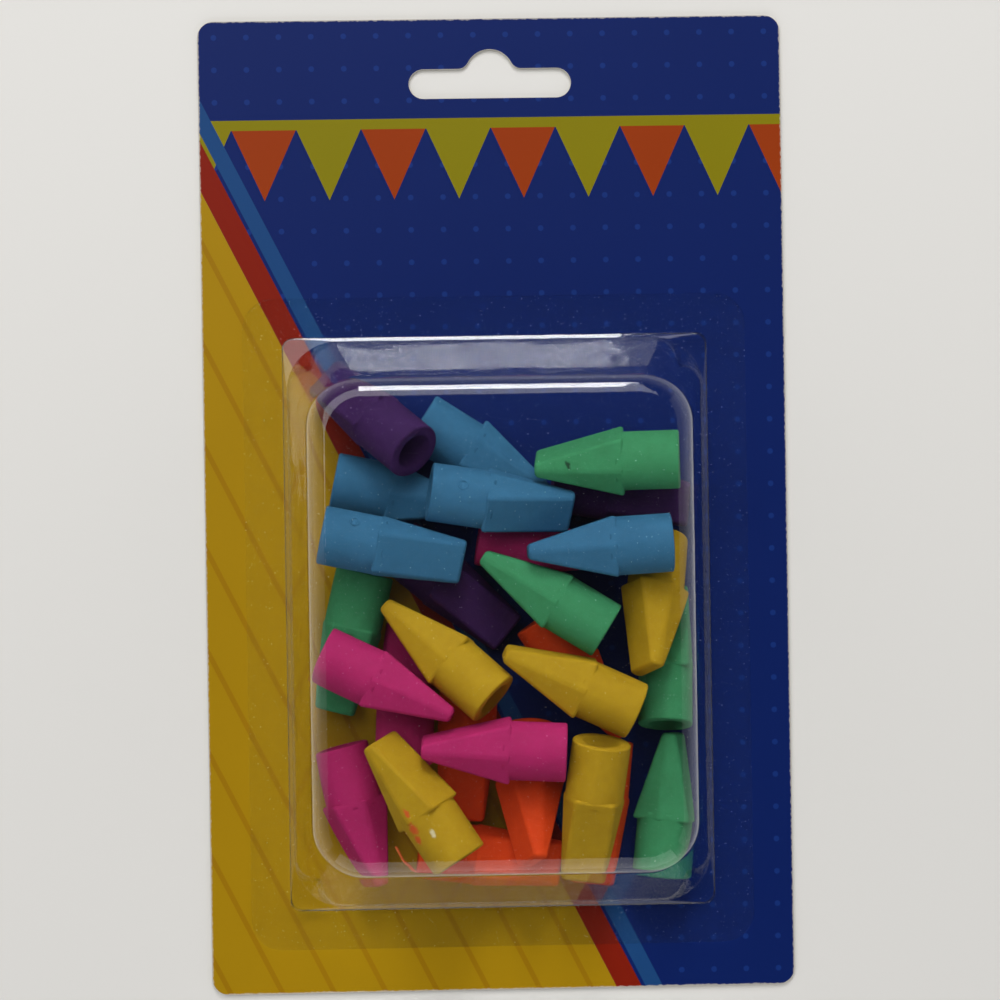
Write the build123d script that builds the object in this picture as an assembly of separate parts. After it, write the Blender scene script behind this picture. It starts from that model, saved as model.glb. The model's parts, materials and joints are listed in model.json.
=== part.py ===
from build123d import *
import math
import os
import numpy as np

# A carded pack of pencil eraser toppers, in millimetres.
# It lies on its back: the card's back face is z = 0, +Y runs to the hanging edge and +Z comes out of the
# card toward whoever looks at it.

# Backing card: die-cut paperboard with a hanging slot.
card_width = 114.3
card_height = 190.5
card_thickness = 0.6
card_corner_radius = 3.2
slot_width = 31.75
slot_height = 5.7
slot_bottom_below_top = 15.6
slot_hump_diameter = 9.5
slot_hump_height = 9.5
slot_blend_radius = 2.2

# Topper: one rubber moulding, a round socket that goes over a pencil's end and a six-sided wedge.
# The pack holds many, so each round is drawn with a small number of flats.
topper_length = 27.8
socket_length = 10.7
socket_diameter = 11.3
bore_diameter = 7.4
bore_depth = 12.5
round_flats = 24
wedge_root_thickness = 11.9
wedge_tip_thickness = 2.8
wedge_face = 7.8
side_slope = 0.37
edge_break = 0.5
tip_radius = 1.0

# Blister: thermoformed clear sheet, heat-sealed to the card's front by its flange.
sheet_thickness = 0.3
flange_margin = 7.7
flange_corner_radius = 6.0
plinth_width = 83.2
plinth_length = 112.0
plinth_height = 2.4
plinth_corner_radius = 2.2
ledge_width = 0.8
bubble_corner_radius = 10.0
side_draft = 10.0
end_draft = 18.5
bubble_edge_radius = 4.6
flange_above_bottom = 8.55
crown_gap = 0.5

# How the loose toppers lie: the gap each keeps to whatever it rests on, how far it may slide from its place
# to lie lower, how much lower it must get for each millimetre of sliding, and the step of the search.
# A topper that finds no room inside the blister looks further out, in rings one reach apart.
rest_gap = 0.1
settle_reach = 1.0
settle_cost = 0.8
cell = 0.2

# Places read off the photo, in the order in which the toppers are laid, the deepest first.
# Each gives the middle of the axis in x and y from the blister's centre, as percentages of the plinth's half
# width and half length, then in degrees the heading from mouth to tip (anticlockwise from +X), the tip's rise
# and the roll (0 with a wide face up, 90 with a ridge up).
PLACES = [
    ("blue_1", -7.0, 57.0, -33, 0, 65),
    ("purple_2", 58.5, 43.9, -10, 0, 0),
    ("blue_3", -43.7, 44.6, -12, 0, 90),
    ("purple_3", -21.6, 11.8, -40, 0, 0),
    ("pink_5", 23.4, 25.7, -10, 0, 90),
    ("green_3", -70.7, -6.1, -104, 0, 0),
    ("green_4", 79.0, -12.4, 87, -15, 0),
    ("green_5", 77.5, -64.4, 84, 0, 70),
    ("pink_4", -67.7, -66.4, -76, 0, 70),
    ("orange_2", -6.4, -81.1, -7, 0, 0),
    ("orange_3", 44.6, -66.4, -96, 0, 0),
    ("pink_2", -44.4, -23.8, 87, -15, 0),
    ("orange_4", -17.2, -44.1, -94, 0, 0),
    ("orange_5", 37.4, -19.5, -57, 0, 90),
    ("orange_1", 12.0, -60.0, -90, 24, 66),
    ("yellow_1", 71.4, 5.6, -99, 23, 64),
    ("purple_1", -57.0, 72.5, 139, -36, 4),
    ("green_1", 50.2, 55.0, 181, -6, 69),
    ("blue_2", 0.5, 42.4, -9, -3, 32),
    ("blue_4", -50.0, 26.5, -12, 0, 14),
    ("blue_5", 45.8, 25.7, 183, 0, 90),
    ("green_2", 20.3, 10.1, 148, -3, 88),
    ("pink_1", -53.4, -20.3, -26, 4, 88),
    ("yellow_2", -28.2, -9.5, 138, -15, 89),
    ("yellow_3", 31.1, -20.2, 155, 2, 85),
    ("yellow_4", -38.9, -60.8, 123, -6, 45),
    ("pink_3", -3.4, -42.6, 177, -2, 78),
    ("yellow_5", 41.5, -64.8, -98, -13, 0),
]


def wedge_half_thickness(share):
    return (wedge_root_thickness + (wedge_tip_thickness - wedge_root_thickness) * share) / 2


def wedge_half_ridge(share):
    return wedge_face / 2 + side_slope * wedge_half_thickness(share)


def ridge_slope():
    """How much the wedge's half width over its ridges narrows for each millimetre along its axis."""
    return (wedge_half_ridge(0) - wedge_half_ridge(1)) / (topper_length - socket_length)


def make_topper():
    """One topper with its mouth's centre at the origin, its tip along +X and its wide faces across Z."""
    root = wedge_half_thickness(0)
    tip = wedge_half_thickness(1)
    side = Polyline(
        (socket_length, root),
        (topper_length, tip),
        (topper_length, -tip),
        (socket_length, -root),
        close=True,
    )
    ridge = wedge_half_ridge(0)
    wedge = extrude(Plane.XZ * make_face(side.edges()), ridge, both=True)
    for out in (1, -1):
        for up in (1, -1):
            facet = Plane(origin=(socket_length, out * ridge, 0), z_dir=(ridge_slope(), out, up * side_slope))
            wedge = split(wedge, bisect_by=facet, keep=Keep.BOTTOM)
    long_edges = [e for e in wedge.edges() if e.length > (topper_length - socket_length) / 2]
    wedge = chamfer(long_edges, edge_break)
    tip_face = wedge.faces().sort_by(Axis.X)[-1]
    wedge = fillet([e for e in tip_face.edges() if e.length > wedge_face / 2], tip_radius)
    socket = Plane.YZ * extrude(RegularPolygon(socket_diameter / 2, round_flats), socket_length)
    bore = Plane.YZ * extrude(RegularPolygon(bore_diameter / 2, round_flats), bore_depth)
    return (socket + wedge - bore).solid()


def turn_matrix(heading, rise, roll):
    """Turns a topper's own axes to the frame's: roll about its axis, then the tip's rise, then heading."""
    h, t, r = (math.radians(a) for a in (heading, rise, roll))
    about_z = np.array([[math.cos(h), -math.sin(h), 0], [math.sin(h), math.cos(h), 0], [0, 0, 1]])
    about_y = np.array([[math.cos(t), 0, -math.sin(t)], [0, 1, 0], [math.sin(t), 0, math.cos(t)]])
    about_x = np.array([[1, 0, 0], [0, math.cos(r), -math.sin(r)], [0, math.sin(r), math.cos(r)]])
    return about_z @ about_y @ about_x


def topper_planes():
    """The socket and the wedge as two sets of planes (normal, distance), measured from the axis' middle."""
    middle = topper_length / 2
    socket = [((-1, 0, 0), 0), ((1, 0, 0), socket_length)]
    for step in range(round_flats):
        a = 2 * math.pi * step / round_flats
        socket.append(((0, math.cos(a), math.sin(a)), socket_diameter / 2))
    thin = (wedge_half_thickness(0) - wedge_half_thickness(1)) / (topper_length - socket_length)
    narrow = ridge_slope()
    wedge = [((-1, 0, 0), -socket_length), ((1, 0, 0), topper_length)]
    for up in (1, -1):
        wedge.append(((thin, 0, up), wedge_half_thickness(0) + thin * socket_length))
        for out in (1, -1):
            wedge.append(((narrow, out, up * side_slope), wedge_half_ridge(0) + narrow * socket_length))
    sets = []
    for planes in (socket, wedge):
        normals = np.array([p[0] for p in planes], float)
        reach = np.array([p[1] for p in planes], float) - normals[:, 0] * middle
        size = np.linalg.norm(normals, axis=1)
        sets.append((normals / size[:, None], reach / size))
    return sets


def covered_cells(turn):
    """The cells under a turned topper grown by the rest gap, with its lowest and highest point over each."""
    half = int(math.ceil((topper_length + wedge_root_thickness) / 2 / cell))
    steps = np.arange(-half, half + 1) * cell
    x, y = np.meshgrid(steps, steps, indexing="ij")
    low = np.full(x.shape, np.inf)
    high = np.full(x.shape, -np.inf)
    for normals, reach in topper_planes():
        bottom = np.full(x.shape, -np.inf)
        top = np.full(x.shape, np.inf)
        for normal, d in zip(normals @ turn.T, reach + rest_gap):
            room = d - normal[0] * x - normal[1] * y
            if normal[2] > 1e-6:
                top = np.minimum(top, room / normal[2])
            elif normal[2] < -1e-6:
                bottom = np.maximum(bottom, room / normal[2])
            else:
                top = np.where(room < 0, -np.inf, top)
        inside = bottom <= top
        low = np.where(inside, np.minimum(low, bottom), low)
        high = np.where(inside, np.maximum(high, top), high)
    i, j = np.nonzero(high > low)
    return i - half, j - half, low[i, j], high[i, j]


def bubble_depth_over(pile_height):
    return pile_height + crown_gap + sheet_thickness


def drawn_in(height, draft, depth, inset):
    """How far a wall of the bubble stands in from its foot at a height above the card's face."""
    lean = math.radians(draft)
    r = bubble_edge_radius - inset
    bend_height = depth - inset - r
    bend_in = (r + (bend_height - plinth_height) * math.sin(lean)) / math.cos(lean)
    if height < bend_height + r * math.sin(lean):
        return (height - plinth_height) * math.tan(lean)
    return bend_in - math.sqrt(max(r * r - (height - bend_height) ** 2, 0))


def ceiling(x, y, depth):
    """Height of the blister's inner face above the card, over points measured from the blister's centre."""
    top = depth - sheet_thickness
    half_w = plinth_width / 2 - ledge_width - sheet_thickness
    half_l = plinth_length / 2 - ledge_width - sheet_thickness
    face = np.zeros(x.shape)
    for height in np.linspace(plinth_height, top, int((top - plinth_height) / cell)):
        side_in = drawn_in(height, side_draft, depth, sheet_thickness)
        end_in = drawn_in(height, end_draft, depth, sheet_thickness)
        bent_in = side_in - (height - plinth_height) * math.tan(math.radians(side_draft))
        corner = max(bubble_corner_radius - sheet_thickness - bent_in, 0)
        qx = np.maximum(np.abs(x) - half_w + side_in + corner, 0)
        qy = np.maximum(np.abs(y) - half_l + end_in + corner, 0)
        face[qx * qx + qy * qy <= corner * corner] = height
    return face


def lay_toppers(expected_height):
    """Lays each topper in turn as low as it goes near its place, clear of the blister's inner face.

    Gives {name: (x, y, z, heading, rise, roll)} of each axis' middle, and the height of the pile."""
    margin = 2 * topper_length
    steps_x = np.arange(-plinth_width / 2 - margin, plinth_width / 2 + margin, cell)
    steps_y = np.arange(-plinth_length / 2 - margin, plinth_length / 2 + margin, cell)
    x, y = np.meshgrid(steps_x, steps_y, indexing="ij")
    roof = ceiling(x, y, bubble_depth_over(expected_height))
    pile = np.zeros(x.shape)
    laid = {}
    near = int(round(settle_reach / cell))
    rings = [[(i, j) for i in range(-near, near + 1) for j in range(-near, near + 1)]]
    for ring in range(2, int(topper_length / settle_reach)):
        turns = [math.pi * k / (3 * ring) for k in range(6 * ring)]
        rings.append([(int(near * ring * math.cos(a)), int(near * ring * math.sin(a))) for a in turns])
    for name, place_x, place_y, heading, rise, roll in PLACES:
        i, j, low, high = covered_cells(turn_matrix(heading, rise, roll))
        at_i = int(round((place_x / 100 * plinth_width / 2 - steps_x[0]) / cell))
        at_j = int(round((place_y / 100 * plinth_length / 2 - steps_y[0]) / cell))
        best = None
        for ring in rings:
            for shift_i, shift_j in ring:
                cells = (i + at_i + shift_i, j + at_j + shift_j)
                z = np.max(pile[cells] - low)
                over = max(0.0, np.max(z + high - roof[cells]))
                cost = 10 * over + z + settle_cost * math.hypot(shift_i, shift_j) * cell
                if best is None or cost < best[0]:
                    best = (cost, over, z, cells, shift_i, shift_j)
            if best[1] == 0:
                break
        _, _, z, cells, shift_i, shift_j = best
        pile[cells] = np.maximum(pile[cells], z + high)
        laid[name] = (steps_x[at_i + shift_i], steps_y[at_j + shift_j], z, heading, rise, roll)
    return laid, float(np.max(pile))


def settle_pile():
    """Lays the toppers in a blister four layers deep, then again in one as deep as that pile needs."""
    _, loose_height = lay_toppers(4 * wedge_root_thickness)
    laid, height = lay_toppers(loose_height)
    return laid, max(height, loose_height)


def make_card():
    sheet = extrude(RectangleRounded(card_width, card_height, card_corner_radius), card_thickness)
    hump_radius = slot_hump_diameter / 2
    slot = SlotOverall(slot_width, slot_height)
    slot += Pos(0, slot_hump_height - slot_height / 2 - hump_radius) * Circle(hump_radius)
    inner = [v for v in slot.vertices() if abs(v.Y - slot_height / 2) < 0.01 and abs(v.X) < hump_radius]
    slot = fillet(inner, slot_blend_radius)
    slot_y = card_height / 2 - slot_bottom_below_top + slot_height / 2
    return sheet - Pos(0, slot_y, -1) * extrude(slot, card_thickness + 2)


def bubble_form(inset, depth):
    """The blister's plinth and bubble as a solid standing on z = 0, drawn in by inset on every side."""
    width = plinth_width - 2 * inset
    length = plinth_length - 2 * inset
    plinth = extrude(RectangleRounded(width, length, plinth_corner_radius - inset), plinth_height - inset)
    half_w = width / 2 - ledge_width
    half_l = length / 2 - ledge_width
    block = extrude(Rectangle(2 * half_w, 2 * half_l), depth - inset - plinth_height)
    bubble = Pos(0, 0, plinth_height) * block
    side_lean = math.tan(math.radians(side_draft))
    end_lean = math.tan(math.radians(end_draft))
    for out in (1, -1):
        side = Plane(origin=(out * half_w, 0, plinth_height), z_dir=(out, 0, side_lean))
        end = Plane(origin=(0, out * half_l, plinth_height), z_dir=(0, out, end_lean))
        bubble = split(split(bubble, bisect_by=side, keep=Keep.BOTTOM), bisect_by=end, keep=Keep.BOTTOM)
    corners = [e for e in bubble.edges() if abs(e.tangent_at(0).Z) > 0.5]
    bubble = fillet(corners, bubble_corner_radius - inset)
    bubble = fillet(bubble.faces().sort_by(Axis.Z)[-1].edges(), bubble_edge_radius - inset)
    foot = extrude(bubble.faces().sort_by(Axis.Z)[0], plinth_height)
    return plinth + foot + bubble


def make_blister(depth):
    flange = extrude(
        RectangleRounded(
            plinth_width + 2 * flange_margin, plinth_length + 2 * flange_margin, flange_corner_radius
        ),
        sheet_thickness,
    )
    shell = flange + bubble_form(0, depth)
    return shell - bubble_form(sheet_thickness, depth)


def main():
    os.makedirs("parts", exist_ok=True)
    laid, height = settle_pile()
    export_step(make_card(), "parts/backing_card.step")
    blister_y = flange_above_bottom + flange_margin + (plinth_length - card_height) / 2
    blister_at = Pos(0, blister_y, card_thickness)
    export_step(blister_at * make_blister(bubble_depth_over(height)), "parts/blister.step")
    topper = Pos(-topper_length / 2, 0, 0) * make_topper()
    for name, (x, y, z, heading, rise, roll) in laid.items():
        at = blister_at * Pos(x, y, z) * Rot(Z=heading) * Rot(Y=-rise) * Rot(X=roll)
        export_step(at * topper, f"parts/topper_{name}.step")


if __name__ == "__main__":
    main()
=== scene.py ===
import bpy
import json
import math
from mathutils import Matrix, Vector

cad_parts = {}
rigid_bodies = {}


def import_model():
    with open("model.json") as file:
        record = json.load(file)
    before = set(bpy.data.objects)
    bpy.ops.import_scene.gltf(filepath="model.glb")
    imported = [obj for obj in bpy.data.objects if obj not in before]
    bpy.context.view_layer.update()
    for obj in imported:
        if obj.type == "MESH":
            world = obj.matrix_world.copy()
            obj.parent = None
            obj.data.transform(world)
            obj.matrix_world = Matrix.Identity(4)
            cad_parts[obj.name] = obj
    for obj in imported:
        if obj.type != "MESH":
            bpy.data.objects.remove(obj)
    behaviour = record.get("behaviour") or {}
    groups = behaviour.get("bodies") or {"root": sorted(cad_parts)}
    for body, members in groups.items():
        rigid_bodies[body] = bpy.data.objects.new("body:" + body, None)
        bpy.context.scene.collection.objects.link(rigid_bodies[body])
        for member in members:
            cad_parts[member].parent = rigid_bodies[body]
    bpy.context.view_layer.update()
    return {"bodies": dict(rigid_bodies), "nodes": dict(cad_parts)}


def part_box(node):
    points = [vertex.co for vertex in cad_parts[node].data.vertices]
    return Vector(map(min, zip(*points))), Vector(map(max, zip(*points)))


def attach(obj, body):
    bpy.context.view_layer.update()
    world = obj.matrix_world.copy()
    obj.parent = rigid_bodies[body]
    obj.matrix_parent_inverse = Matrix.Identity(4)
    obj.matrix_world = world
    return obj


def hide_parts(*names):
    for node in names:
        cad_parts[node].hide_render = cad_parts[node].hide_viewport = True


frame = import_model()


# Backing card: one sheet of coated paperboard, printed on its front and bare on its back, die-cut with
# round corners and a hanging slot. The cut bares the pale core of the board along every edge. Shapes are in
# metres, while the print and all other finishes count in millimetres.
weld_distance = 0.000002
flat_angle = math.radians(1)
sharp_angle = math.radians(60)


def new_piece(name, mesh):
    """A new piece with a mesh of its own, selected alone."""
    bpy.ops.object.select_all(action="DESELECT")
    piece = bpy.data.objects.new(name, mesh)
    bpy.context.collection.objects.link(piece)
    bpy.context.view_layer.objects.active = piece
    piece.select_set(True)
    return piece


def piece_from(node, name):
    """A new piece with a node's own shape, its triangles joined into whole flat faces."""
    piece = new_piece(name, frame["nodes"][node].data.copy())
    bpy.ops.object.mode_set(mode="EDIT")
    bpy.ops.mesh.select_all(action="SELECT")
    bpy.ops.mesh.remove_doubles(threshold=weld_distance)
    bpy.ops.mesh.dissolve_limited(angle_limit=flat_angle)
    bpy.ops.object.mode_set(mode="OBJECT")
    piece.data.materials.clear()
    return piece


def apply_modifier(piece, kind, **settings):
    """Adds a modifier with its settings to a piece and applies it."""
    modifier = piece.modifiers.new(kind.lower(), kind)
    for setting, value in settings.items():
        setattr(modifier, setting, value)
    bpy.context.view_layer.objects.active = piece
    bpy.ops.object.modifier_apply(modifier=modifier.name)


def srgb(red, green, blue):
    """A colour written as it looks on a screen, 0 to 255, as the linear colour that a shader takes."""
    shares = [c / 255 for c in (red, green, blue)]
    return (*[s / 12.92 if s <= 0.04045 else ((s + 0.055) / 1.055) ** 2.4 for s in shares], 1)


class Field:
    """A value that changes over a surface: sums on it add Math nodes to its material."""

    def __init__(self, material, socket):
        self.material = material
        self.socket = socket

    def sum(self, operation, *others):
        """A Math node's result, with its terms in order."""
        return Finish.of(self.material).node("Math", {"operation": operation}, 0, *others)

    def __add__(self, other):
        return self.sum("ADD", self, other)

    __radd__ = __add__

    def __sub__(self, other):
        return self.sum("SUBTRACT", self, other)

    def __rsub__(self, other):
        return self.sum("SUBTRACT", other, self)

    def __mul__(self, other):
        return self.sum("MULTIPLY", self, other)

    __rmul__ = __mul__

    def __pow__(self, other):
        return self.sum("POWER", self, other)

    def __mod__(self, other):
        return self.sum("FLOORED_MODULO", self, other)

    def __abs__(self):
        return self.sum("ABSOLUTE", self)

    def least(self, other):
        return self.sum("MINIMUM", self, other)

    def over(self, edge, soft):
        """0 below an edge and 1 above it, with a soft step."""
        return Finish.of(self.material).node(
            "MapRange", {"interpolation_type": "SMOOTHSTEP"}, 0, self, edge - soft, edge + soft, 0, 1
        )


class Finish:
    """A procedural material with one Principled shader, and the one method that adds its nodes."""

    made = {}

    @classmethod
    def of(cls, material):
        return cls.made[material]

    def __init__(self, name):
        self.material = bpy.data.materials.new(name)
        self.material.use_nodes = True
        Finish.made[self.material] = self
        self.tree = self.material.node_tree
        self.shader = self.tree.nodes["Principled BSDF"]
        self.output = self.tree.nodes["Material Output"]

    def plug(self, socket, value):
        """Links a value that changes to a socket, or sets a constant on it."""
        if isinstance(value, Field):
            self.tree.links.new(value.socket, socket)
        else:
            socket.default_value = value

    def node(self, kind, settings, result, *values, **named):
        """Adds a node: its settings first, then its sockets in order or by name. Gives one of its results."""
        node = self.tree.nodes.new("ShaderNode" + kind)
        for setting, value in settings.items():
            setattr(node, setting, value)
        for socket, value in zip([s for s in node.inputs if s.enabled], values):
            self.plug(socket, value)
        for name, value in named.items():
            self.plug(node.inputs[name.replace("_", " ")], value)
        outputs = [s for s in node.outputs if s.enabled]
        return Field(self.material, outputs[result] if isinstance(result, int) else node.outputs[result])

    def spot(self):
        """Where a point lies on the piece, as x, y and z in millimetres."""
        at = self.node("TexCoord", {}, "Object")
        mm = self.node("VectorMath", {"operation": "SCALE"}, 0, Vector=at, Scale=1000.0)
        return mm, [self.node("SeparateXYZ", {}, axis, mm) for axis in range(3)]

    def noise(self, at, scale, detail=2.0):
        return self.node("TexNoise", {}, 0, Vector=at, Scale=scale, Detail=detail)

    def mix(self, share, first, second):
        """Two colours mixed by a value."""
        return self.node("Mix", {"data_type": "RGBA"}, 0, share, first, second)

    def set(self, **named):
        """Sets or links the shader's sockets by name."""
        for name, value in named.items():
            self.plug(self.shader.inputs[name.replace("_", " ")], value)

    def bump(self, height, depth_mm):
        """Bumps the surface by a height from 0 to 1 that stands for so many millimetres."""
        self.set(Normal=self.node("Bump", {}, 0, Height=height, Distance=depth_mm / 1000, Strength=1.0))


_, card_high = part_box("backing_card")
card_half_width = card_high.x * 1000
card_half_height = card_high.y * 1000
print_blue = srgb(11, 31, 91)
print_dot_blue = srgb(20, 47, 114)
print_yellow = srgb(160, 124, 11)
print_deep_yellow = srgb(150, 110, 8)
print_orange = srgb(144, 53, 9)
print_lime = srgb(127, 118, 9)
print_red = srgb(124, 27, 10)
print_light_blue = srgb(26, 66, 116)
worn_board = srgb(190, 184, 172)
print_crisp = 0.06
dot_pitch = 6.35
dot_radius = 0.55
flag_pitch = 12.7
flag_slope = 2.2
flag_top = 74
flag_point = 60
string_middle = 74.8
string_half = 1.0
ribbon_way = (0.893, 0.449)
ribbon_shift = 23.0
pin_pitch = 9.0
pin_half = 0.5
red_middle = red_half = 2.2
light_blue_middle = 6.6
light_blue_half = 1.5
wear_width = 0.34
board_pale = srgb(206, 200, 188)
board_dark = srgb(170, 163, 150)
card_edge = 0.00006

printed = Finish("card_print")
spot, (x, y, _) = printed.spot()
slant = x * ribbon_way[0] + y * ribbon_way[1] + ribbon_shift
dots = ((x % dot_pitch - dot_pitch / 2) ** 2 + (y % dot_pitch - dot_pitch / 2) ** 2) ** 0.5
colour = printed.mix(1 - dots.over(dot_radius, 0.08), print_blue, print_dot_blue)
flag = abs(x % flag_pitch - flag_pitch / 2) * flag_slope
flags = (flag_top - y).over(0, print_crisp) * (y - flag_point - flag).over(0, print_crisp)
every_other = (x % (2 * flag_pitch) - flag_pitch).over(0, 0.02)
colour = printed.mix(flags, colour, printed.mix(every_other, print_orange, print_lime))
colour = printed.mix((string_half - abs(y - string_middle)).over(0, print_crisp), colour, print_lime)
pinstripe = (abs(slant % pin_pitch - pin_pitch / 2) - pin_half).over(0, print_crisp)
ground = printed.mix(pinstripe, print_deep_yellow, print_yellow)
colour = printed.mix(1 - slant.over(0, print_crisp), colour, ground)
red_stripe = (red_half - abs(slant - red_middle)).over(0, print_crisp)
colour = printed.mix(red_stripe, colour, print_red)
light_blue_stripe = (light_blue_half - abs(slant - light_blue_middle)).over(0, print_crisp)
colour = printed.mix(light_blue_stripe, colour, print_light_blue)
speckle = printed.noise(spot, 3.0, 3.0)
tone = printed.noise(spot, 0.035, 2.0)
colour = printed.mix(speckle * 0.06 + tone * 0.08, colour, srgb(0, 0, 0))
rim = (card_half_width - abs(x)).least(card_half_height - abs(y))
scuff = (wear_width - rim + printed.noise(spot, 1.3, 4.0) * 0.6 - 0.3).over(0.12, 0.1)
printed.set(Base_Color=printed.mix(scuff * 0.6, colour, worn_board))
printed.set(Roughness=0.28 + speckle * 0.1 + scuff * 0.3, Specular_IOR_Level=0.1)
printed.bump(printed.noise(spot, 0.9, 3.0), 0.006)

board = Finish("bare_board")
spot, _ = board.spot()
fibre = board.noise(spot, 2.2, 5.0)
cloud = board.noise(spot, 0.12, 3.0)
board.set(Base_Color=board.mix(fibre * 0.5 + cloud * 0.3, board_pale, board_dark))
board.set(Roughness=0.85)
board.bump(fibre, 0.02)

card = piece_from("backing_card", "printed_card")
apply_modifier(card, "BEVEL", width=card_edge, segments=2, limit_method="ANGLE", angle_limit=sharp_angle)
card.data.materials.append(printed.material)
card.data.materials.append(board.material)
for face in card.data.polygons:
    face.material_index = 0 if face.normal.z > 0.99 else 1
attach(card, "pack")
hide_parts("backing_card")


# Toppers: each is one moulding of soft, matt rubber, a round socket with a blind bore for the pencil's end
# and a six-sided wedge that rubs. The mould leaves soft edges, a fine grain and a small gate mark.
def rubber(name, colour, dusty, shade, marks=()):
    """A rubber finish. Each mark is a smudge at x and y over the card, with its radius and colour."""
    finish = Finish("rubber_" + name)
    spot, (x, y, _) = finish.spot()
    cloud = finish.noise(spot, 0.22, 3.0)
    dust = finish.noise(spot, 1.6, 5.0)
    grain = finish.noise(spot, 5.0, 2.0)
    blotch = finish.noise(spot, 0.75, 3.0)
    body = finish.mix((cloud * 0.5 + blotch * 0.5 - 0.35) * 2.2, colour, shade)
    dusting = (dust - 0.5).over(0.1, 0.12) * 0.06
    body = finish.mix(dusting, body, dusty)
    for mark_x, mark_y, radius, mark_colour in marks:
        below = (y - mark_y) * 0.6
        away = ((x - mark_x + below * 0.6) ** 2 + below**2) ** 0.5
        ragged = away + (dust - 0.5) * radius * 2
        body = finish.mix((1 - ragged.over(radius, radius * 0.5)) * 0.85, body, mark_colour)
    finish.set(Base_Color=body, Roughness=0.68 + dusting * 0.8 + grain * 0.12, Specular_IOR_Level=0.14)
    finish.bump(cloud * 0.75 + grain * 0.25, 0.10)
    return finish


smudge = srgb(206, 74, 40)
yellow_marks = [
    (-18.9, -58.6, 0.45, smudge), (-17.6, -61.6, 0.7, smudge), (-16.8, -63.6, 0.5, smudge),
    (-14.0, -62.4, 0.45, srgb(214, 204, 170)),
]
green_marks = [(13.0, 7.2, 0.4, srgb(16, 30, 22))]
topper_finishes = {
    "blue": rubber("blue", srgb(50, 102, 138), srgb(112, 144, 164), srgb(42, 90, 124)),
    "green": rubber("green", srgb(57, 133, 89), srgb(118, 166, 134), srgb(49, 117, 76), green_marks),
    "yellow": rubber("yellow", srgb(174, 139, 22), srgb(184, 163, 91), srgb(158, 122, 15), yellow_marks),
    "pink": rubber("pink", srgb(170, 33, 96), srgb(184, 98, 138), srgb(154, 28, 86)),
    "orange": rubber("orange", srgb(216, 68, 20), srgb(214, 124, 88), srgb(198, 57, 15)),
    "purple": rubber("purple", srgb(57, 27, 79), srgb(100, 78, 118), srgb(45, 20, 64)),
}

topper_length = 0.0278
socket_length = 0.0107
socket_radius = 0.00565
bore_radius = 0.0037
bore_depth = 0.0125
wedge_half_face = 0.0039
root_half_thickness = 0.00595
tip_half_thickness = 0.0014
side_slope = 0.37
soft_edge = 0.0007
mouth_edge = 0.0004
bore_end_edge = 0.0008
fine_edge = 0.0002
sliver = 0.000003
round_sides = 48
hexagon_radius = 0.001
socket_overlap = 0.0015
bore_lead = 0.001
rim_depth = 0.00001
gate_turn = math.radians(55)
gate_from_mouth = 0.0059
gate_sunk = 0.0001
gate_ring_radius = 0.0009
gate_bead_radius = 0.00024


def pick(piece, kind, wanted):
    """Goes into edit mode with only the wanted vertices, edges or faces of a piece selected."""
    bpy.context.view_layer.objects.active = piece
    bpy.ops.object.mode_set(mode="EDIT")
    bpy.ops.mesh.select_mode(type=kind)
    bpy.ops.mesh.select_all(action="DESELECT")
    bpy.ops.object.mode_set(mode="OBJECT")
    parts = {"VERT": piece.data.vertices, "EDGE": piece.data.edges, "FACE": piece.data.polygons}[kind]
    for part in parts:
        part.select = wanted(part)
    bpy.ops.object.mode_set(mode="EDIT")


def rod(name, sides, radius, start, end):
    """A prism along +X, from start to end."""
    bpy.ops.object.select_all(action="DESELECT")
    bpy.ops.mesh.primitive_cylinder_add(
        vertices=sides, radius=radius, depth=end - start, location=((start + end) / 2, 0, 0),
        rotation=(0, math.pi / 2, 0),
    )
    piece = bpy.context.object
    piece.name = name
    bpy.ops.object.transform_apply(location=True, rotation=True, scale=True)
    return piece


wedge = rod("wedge", 6, hexagon_radius, socket_length, topper_length)
for at_tip, half_thickness in ((False, root_half_thickness), (True, tip_half_thickness)):
    half_ridge = wedge_half_face + side_slope * half_thickness
    in_row = [(v.co.x > (socket_length + topper_length) / 2) == at_tip for v in wedge.data.vertices]
    on_ridge = [abs(v.co.z) < hexagon_radius / 10 for v in wedge.data.vertices]
    pick(wedge, "VERT", lambda v: in_row[v.index] and on_ridge[v.index])
    bpy.ops.transform.resize(value=(1, half_ridge / hexagon_radius, 1), center_override=(0, 0, 0))
    bpy.ops.object.mode_set(mode="OBJECT")
    pick(wedge, "VERT", lambda v: in_row[v.index] and not on_ridge[v.index])
    wider = wedge_half_face / (hexagon_radius / 2)
    thicker = half_thickness / (hexagon_radius * math.cos(math.pi / 6))
    bpy.ops.transform.resize(value=(1, wider, thicker), center_override=(0, 0, 0))
    bpy.ops.object.mode_set(mode="OBJECT")
pick(wedge, "EDGE", lambda e: True)
bpy.ops.mesh.bevel(offset=soft_edge, offset_type="OFFSET", segments=4, affect="EDGES")
bpy.ops.object.mode_set(mode="OBJECT")

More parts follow.
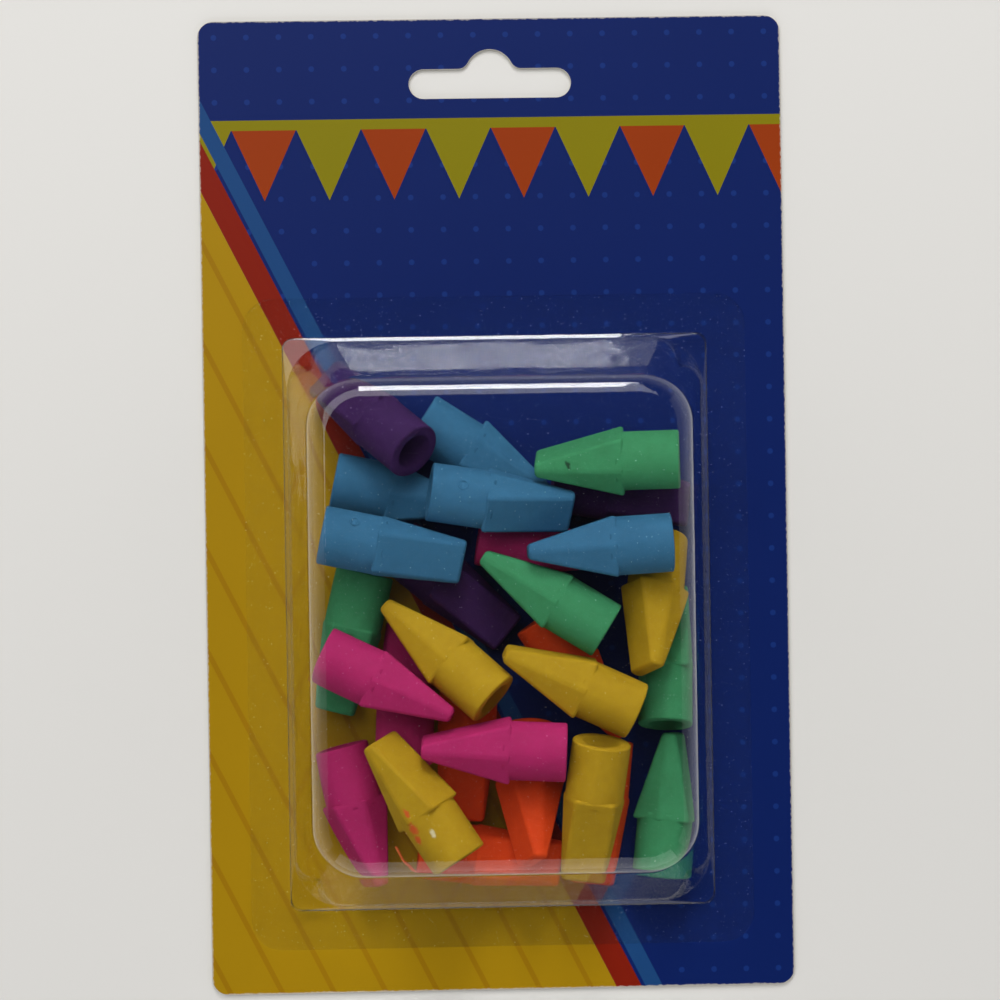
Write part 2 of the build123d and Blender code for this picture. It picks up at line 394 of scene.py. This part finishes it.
eraser = rod("eraser", round_sides, socket_radius, 0, socket_length + socket_overlap)
pick(eraser, "FACE", lambda f: f.normal.x < -0.9)
bpy.ops.mesh.bevel(offset=mouth_edge, offset_type="OFFSET", segments=3, affect="EDGES")
bpy.ops.object.mode_set(mode="OBJECT")
bore = rod("bore", round_sides, bore_radius, -bore_lead, bore_depth)
pick(bore, "FACE", lambda f: f.normal.x > 0.9)
bpy.ops.mesh.bevel(offset=bore_end_edge, offset_type="OFFSET", segments=3, affect="EDGES")
bpy.ops.object.mode_set(mode="OBJECT")
bpy.ops.object.select_all(action="DESELECT")
gate_place = Matrix.Rotation(-gate_turn, 3, "X") @ Vector((gate_from_mouth, 0, socket_radius - gate_sunk))
bpy.ops.mesh.primitive_torus_add(
    major_radius=gate_ring_radius, minor_radius=gate_bead_radius, major_segments=28, minor_segments=10,
    location=gate_place, rotation=(-gate_turn, 0, 0),
)
gate_mark = bpy.context.object
bpy.ops.object.transform_apply(location=True, rotation=True, scale=True)
for other, way in ((wedge, "UNION"), (gate_mark, "UNION"), (bore, "DIFFERENCE")):
    apply_modifier(eraser, "BOOLEAN", object=other, operation=way, solver="EXACT")
    bpy.data.objects.remove(other)
apply_modifier(eraser, "BEVEL", width=fine_edge, segments=2, limit_method="ANGLE", angle_limit=sharp_angle)
pick(eraser, "VERT", lambda v: True)
bpy.ops.mesh.remove_doubles(threshold=sliver)
bpy.ops.mesh.dissolve_degenerate(threshold=sliver)
bpy.ops.object.mode_set(mode="OBJECT")
bpy.ops.object.select_all(action="DESELECT")
eraser.select_set(True)
bpy.ops.object.shade_smooth()
apply_modifier(eraser, "WEIGHTED_NORMAL", weight=50)


def topper_axes(node):
    """The middle of a topper's mouth, and the ways along its axis and out of its upper wide face."""
    copy = piece_from(node, "measured")
    wide = sorted(copy.data.polygons, key=lambda face: face.area)[-2:]
    along = (wide[0].normal + wide[1].normal).normalized()
    out = (wide[0].normal - wide[1].normal).normalized()
    reach = [v.co.dot(along) for v in copy.data.vertices]
    rim = [v.co.copy() for v, r in zip(copy.data.vertices, reach) if r < min(reach) + rim_depth]
    bpy.data.objects.remove(copy)
    return sum(rim, Vector()) / len(rim), along, out if out.z > 0 else -out


gate_up = ("topper_blue_2", "topper_blue_4")
for node in frame["nodes"]:
    if not node.startswith("topper_"):
        continue
    colour_name = node.split("_")[1]
    mouth, along, out = topper_axes(node)
    across = out.cross(along)
    gate_way = out * math.cos(gate_turn) + across * math.sin(gate_turn)
    if (gate_way.z > 0) != (node in gate_up):
        out, across = -out, -across
    topper = new_piece(node.replace("topper", "eraser"), eraser.data.copy())
    topper.matrix_world = Matrix.Translation(mouth) @ Matrix((along, across, out)).transposed().to_4x4()
    bpy.ops.object.transform_apply(location=True, rotation=True, scale=True)
    topper.data.materials.clear()
    topper.data.materials.append(topper_finishes[colour_name].material)
    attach(topper, node if node in frame["bodies"] else "pack")
    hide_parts(node)
bpy.data.objects.remove(eraser)


# A curl of flash: a thin thread of rubber that the mould squeezed out at the mouth of one orange topper. It
# was never trimmed, so it still hangs on by its root and bends up and out beside the mouth.
mouth, along, _ = topper_axes("topper_orange_2")
aside = Vector((0, 0, 1)).cross(along).normalized()
rise = along.cross(aside)
thread_radius = 0.00036
thread = [
    (0.4, -5.0, 1.9), (-0.5, -4.9, 2.4), (-1.4, -3.6, 3.4),
    (-2.8, -2.6, 4.2), (-3.7, -1.0, 4.6), (-4.6, 0.2, 4.4),
]
# The flash finish is a paler copy of the orange rubber. The paler colour is painted light: it stands for the
# light that falls on this thin, raised thread and shines through it.
flash = rubber("flash", srgb(222, 108, 56), srgb(222, 150, 110), srgb(206, 94, 44))
bpy.ops.object.select_all(action="DESELECT")
bpy.ops.curve.primitive_nurbs_path_add()
curl = bpy.context.object
curl.name = "flash_curl"
curl.data.splines.clear()
line = curl.data.splines.new("NURBS")
line.points.add(len(thread) - 1)
for point, (ahead, out, up) in zip(line.points, thread):
    point.co = (*(mouth + (along * ahead + aside * out + rise * up) / 1000), 1)
    point.radius = 1.0 if ahead > -2.5 else 0.7
line.order_u = 3
line.use_endpoint_u = True
curl.data.bevel_depth = thread_radius
curl.data.bevel_resolution = 3
curl.data.use_fill_caps = True
bpy.ops.object.convert(target="MESH")
bpy.ops.object.shade_smooth()
curl.data.materials.append(flash.material)
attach(curl, "pack")


# Blister: one sheet of clear stiff plastic, drawn over a warm mould into a flange, a low plinth and a deep
# bubble with leaning walls and round edges. The flange is sealed to the card by heat.
sheet = 0.0003
blister_low, blister_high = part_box("blister")
seat = blister_low.z
middle = (blister_low + blister_high) / 2
depth = blister_high.z - blister_low.z
flange_half = ((blister_high - blister_low) / 2).xy
flange_corner = 0.006
flange_margin = 0.0077
plinth_half = flange_half - Vector((flange_margin, flange_margin))
plinth_corner = 0.0022
plinth_height = 0.0024
ledge_width = 0.0008
foot_half = plinth_half - Vector((ledge_width, ledge_width))
bubble_corner = 0.010
side_draft = math.radians(10)
end_draft = math.radians(18.5)
edge_radius = 0.0046
bend_height = depth - edge_radius
fold_radius = 0.00008
knuckle_radius = 0.0002
ledge_lean = math.radians(66)
ledge_rise = 0.00028
fold_steps = 3
knuckle_steps = 5
crown_steps = 14
corner_steps = 12
quarters = [Vector((1, 1)), Vector((-1, 1)), Vector((-1, -1)), Vector((1, -1))]
film_tint = (0.90, 0.91, 0.90, 1)
film_shadow_tint = (0.95, 0.96, 0.95, 1)


def drawn_in(height, draft):
    """How far a wall of the bubble stands in from its foot at a height above the card."""
    bend_in = (edge_radius + (bend_height - plinth_height) * math.sin(draft)) / math.cos(draft)
    if height < bend_height + edge_radius * math.sin(draft):
        return (height - plinth_height) * math.tan(draft)
    return bend_in - math.sqrt(max(edge_radius**2 - (height - bend_height) ** 2, 0))


def wall_row(height, out):
    """One row of the bubble's wall: its half sizes, the radius of its corners and its height."""
    side_in, end_in = drawn_in(height, side_draft), drawn_in(height, end_draft)
    bent_in = side_in - (height - plinth_height) * math.tan(side_draft)
    return foot_half - Vector((side_in - out, end_in - out)), bubble_corner - bent_in, height


rows = [(flange_half, flange_corner, sheet)]
for step in range(fold_steps + 1):
    turn = math.pi / 2 * step / fold_steps
    out = fold_radius * (1 - math.sin(turn))
    rise = fold_radius * (1 - math.cos(turn))
    rows.append((plinth_half + Vector((out, out)), plinth_corner + out, sheet + rise))
for step in range(knuckle_steps + 1):
    turn = ledge_lean * step / knuckle_steps
    out = knuckle_radius * (math.cos(turn) - 1)
    drop = ledge_rise + knuckle_radius * (1 - math.sin(turn))
    rows.append((plinth_half + Vector((out, out)), plinth_corner + out, plinth_height - drop))
for step in range(1, fold_steps + 1):
    turn = math.pi / 2 * step / fold_steps
    rise = fold_radius * (1 - math.cos(turn))
    rows.append(wall_row(plinth_height + rise, fold_radius * (1 - math.sin(turn))))
for step in range(crown_steps + 1):
    turn = side_draft + (math.pi / 2 - side_draft) * step / crown_steps
    rows.append(wall_row(bend_height + edge_radius * math.sin(turn), 0))

bpy.ops.object.select_all(action="DESELECT")
bpy.ops.mesh.primitive_plane_add(size=1)
bubble = bpy.context.object
bubble.name = "clear_blister"
bpy.ops.object.mode_set(mode="EDIT")
bpy.ops.mesh.select_all(action="SELECT")
half, corner, height = rows[0]
bpy.ops.transform.resize(value=(2 * half.x, 2 * half.y, 1))
bpy.ops.transform.translate(value=(middle.x, middle.y, seat + height))
bpy.ops.mesh.bevel(affect="VERTICES", offset=corner, offset_type="OFFSET", segments=corner_steps)
bpy.ops.mesh.delete(type="ONLY_FACE")
bpy.ops.object.mode_set(mode="OBJECT")
row_length = len(bubble.data.vertices)


def in_new_row(vertex):
    """Whether a vertex is in the row that was made last."""
    return vertex.index >= len(bubble.data.vertices) - row_length


def in_quarter(vertex, side):
    """Whether a vertex lies to one side of the middle, both in x and in y."""
    away = vertex.co - middle
    return away.x * side.x > 0 and away.y * side.y > 0


for (half, corner, height), (next_half, next_corner, next_height) in zip(rows, rows[1:]):
    pick(bubble, "VERT", in_new_row)
    bpy.ops.mesh.select_mode(type="EDGE")
    bpy.ops.mesh.extrude_edges_move(TRANSFORM_OT_translate={"value": (0, 0, next_height - height)})
    for side in quarters:
        pick(bubble, "VERT", lambda v: in_new_row(v) and in_quarter(v, side))
        old_middle = middle.xy + (half - Vector((corner, corner))) * side
        new_middle = middle.xy + (next_half - Vector((next_corner, next_corner))) * side
        grown = next_corner / corner
        bpy.ops.transform.resize(value=(grown, grown, 1), center_override=(*old_middle, 0))
        bpy.ops.transform.translate(value=(*(new_middle - old_middle), 0))
pick(bubble, "VERT", in_new_row)
bpy.ops.mesh.select_mode(type="EDGE")
bpy.ops.mesh.edge_face_add()
bpy.ops.mesh.select_all(action="SELECT")
bpy.ops.mesh.normals_make_consistent(inside=False)
bpy.ops.object.mode_set(mode="OBJECT")
apply_modifier(
    bubble, "SOLIDIFY", thickness=sheet, offset=-1, use_even_offset=True, use_quality_normals=True
)
bpy.ops.object.shade_smooth()
apply_modifier(bubble, "WEIGHTED_NORMAL", weight=100)

clear = Finish("clear_sheet")
clear.set(Transmission_Weight=1.0, IOR=1.5, Base_Color=film_tint)
spot, _ = clear.spot()
waves = clear.noise(spot, 0.09, 2.0)
hairs = clear.noise(clear.node("Mapping", {}, 0, Vector=spot, Scale=(0.12, 2.6, 1.0)), 1.0, 4.0)
specks = clear.noise(spot, 2.6, 2.0).over(0.74, 0.03)
clear.set(Roughness=0.03 + hairs.over(0.68, 0.05) * 0.05 + specks * 0.3)
clear.bump(waves, 0.05)
shade_free = clear.node("BsdfTransparent", {}, 0, film_shadow_tint)
lamp_ray = clear.node("LightPath", {}, "Is Shadow Ray")
film = Field(clear.material, clear.shader.outputs[0])
through = clear.node("MixShader", {}, 0, lamp_ray, film, shade_free)
clear.plug(clear.output.inputs["Surface"], through)
bubble.data.materials.append(clear.material)
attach(bubble, "pack")
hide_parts("blister")


# Stage: a pale floor, a large soft lamp overhead, a panel on each of three sides, and a small lamp past the
# hanging edge that draws the bright lines along the blister's round edges. The sky is pale at the horizon and
# dim overhead, so that no veil lies on the film. No lamp is seen through it, or it would light things twice.
bpy.ops.object.select_all(action="DESELECT")
floor_drop = 0.0002
bpy.ops.mesh.primitive_plane_add(size=3, location=(0, 0, -floor_drop))
floor = bpy.context.object
floor.name = "floor"
pale = Finish("pale_floor")
pale.set(Base_Color=srgb(214, 212, 208), Roughness=0.8)
floor.data.materials.append(pale.material)

world = bpy.data.worlds.new("studio")
world.use_nodes = True
sky = world.node_tree
sky_way = sky.nodes.new("ShaderNodeTexCoord")
sky_height = sky.nodes.new("ShaderNodeSeparateXYZ")
sky_fade = sky.nodes.new("ShaderNodeMapRange")
sky.links.new(sky_way.outputs["Generated"], sky_height.inputs[0])
sky.links.new(sky_height.outputs["Z"], sky_fade.inputs["Value"])
sky_fade.inputs["From Max"].default_value = 0.6
sky_fade.inputs["To Min"].default_value = 0.5
sky_fade.inputs["To Max"].default_value = 0.02
sky.links.new(sky_fade.outputs[0], sky.nodes["Background"].inputs["Strength"])
sky.nodes["Background"].inputs["Color"].default_value = (1, 1, 1, 1)
bpy.context.scene.world = world


def lamp(name, place, aim, width, length, watts):
    """A rectangular area lamp that points from its place at an aim."""
    light = bpy.data.lights.new(name, "AREA")
    light.shape = "RECTANGLE"
    light.size = width
    light.size_y = length
    light.energy = watts
    held = bpy.data.objects.new(name, light)
    bpy.context.collection.objects.link(held)
    held.location = place
    held.rotation_euler = (Vector(aim) - Vector(place)).to_track_quat("-Z", "Y").to_euler()
    held.visible_transmission = False


lamp("soft_lamp", (-0.3, 0.62, 1.3), (0, 0, 0), 1.4, 0.9, 11.6)
panel_height = 0.78
panels = [("near_panel", 0, -1.0, 10), ("left_panel", -1.0, 0, 4), ("right_panel", 1.0, 0, 4)]
for name, aside, ahead, watts in panels:
    lamp(name, (aside, ahead, panel_height), (0, 0, panel_height), 1.6, 1.5, watts)
lamp("edge_lamp", (0.0136, 0.63, 0.545), (0, 0.03, 0.02), 0.137, 0.33, 2.7)


# Camera: nearly straight over the card, a little to its left and turned about one degree. Its lens and its
# shift put the card at its size and place in the photograph's frame.
picture_px = 1000
card_middle_px = (496.6, 503.9)
px_per_mm = 5.098
camera_distance = 0.8
tilt_left = math.radians(2.0)
roll = math.radians(0.93)
camera_data = bpy.data.cameras.new("camera")
camera = bpy.data.objects.new("camera", camera_data)
bpy.context.collection.objects.link(camera)
back = Vector((-math.sin(tilt_left), 0, 1)).normalized()
place = Vector((0, 0, card_high.z)) + back * camera_distance
right = Vector((0, 1, 0)).cross(back).normalized()
up = back.cross(right)
turned_right = right * math.cos(roll) - up * math.sin(roll)
turned_up = right * math.sin(roll) + up * math.cos(roll)
facing = Matrix((turned_right, turned_up, back)).transposed()
camera.matrix_world = Matrix.Translation(place) @ facing.to_4x4()
camera_data.sensor_width = 36.0
camera_data.lens = camera_data.sensor_width * camera_distance * 1000 * px_per_mm / picture_px
camera_data.shift_x = (picture_px / 2 - card_middle_px[0]) / picture_px
camera_data.shift_y = (card_middle_px[1] - picture_px / 2) / picture_px
bpy.context.scene.camera = camera
bpy.context.scene.view_settings.view_transform = "Standard"
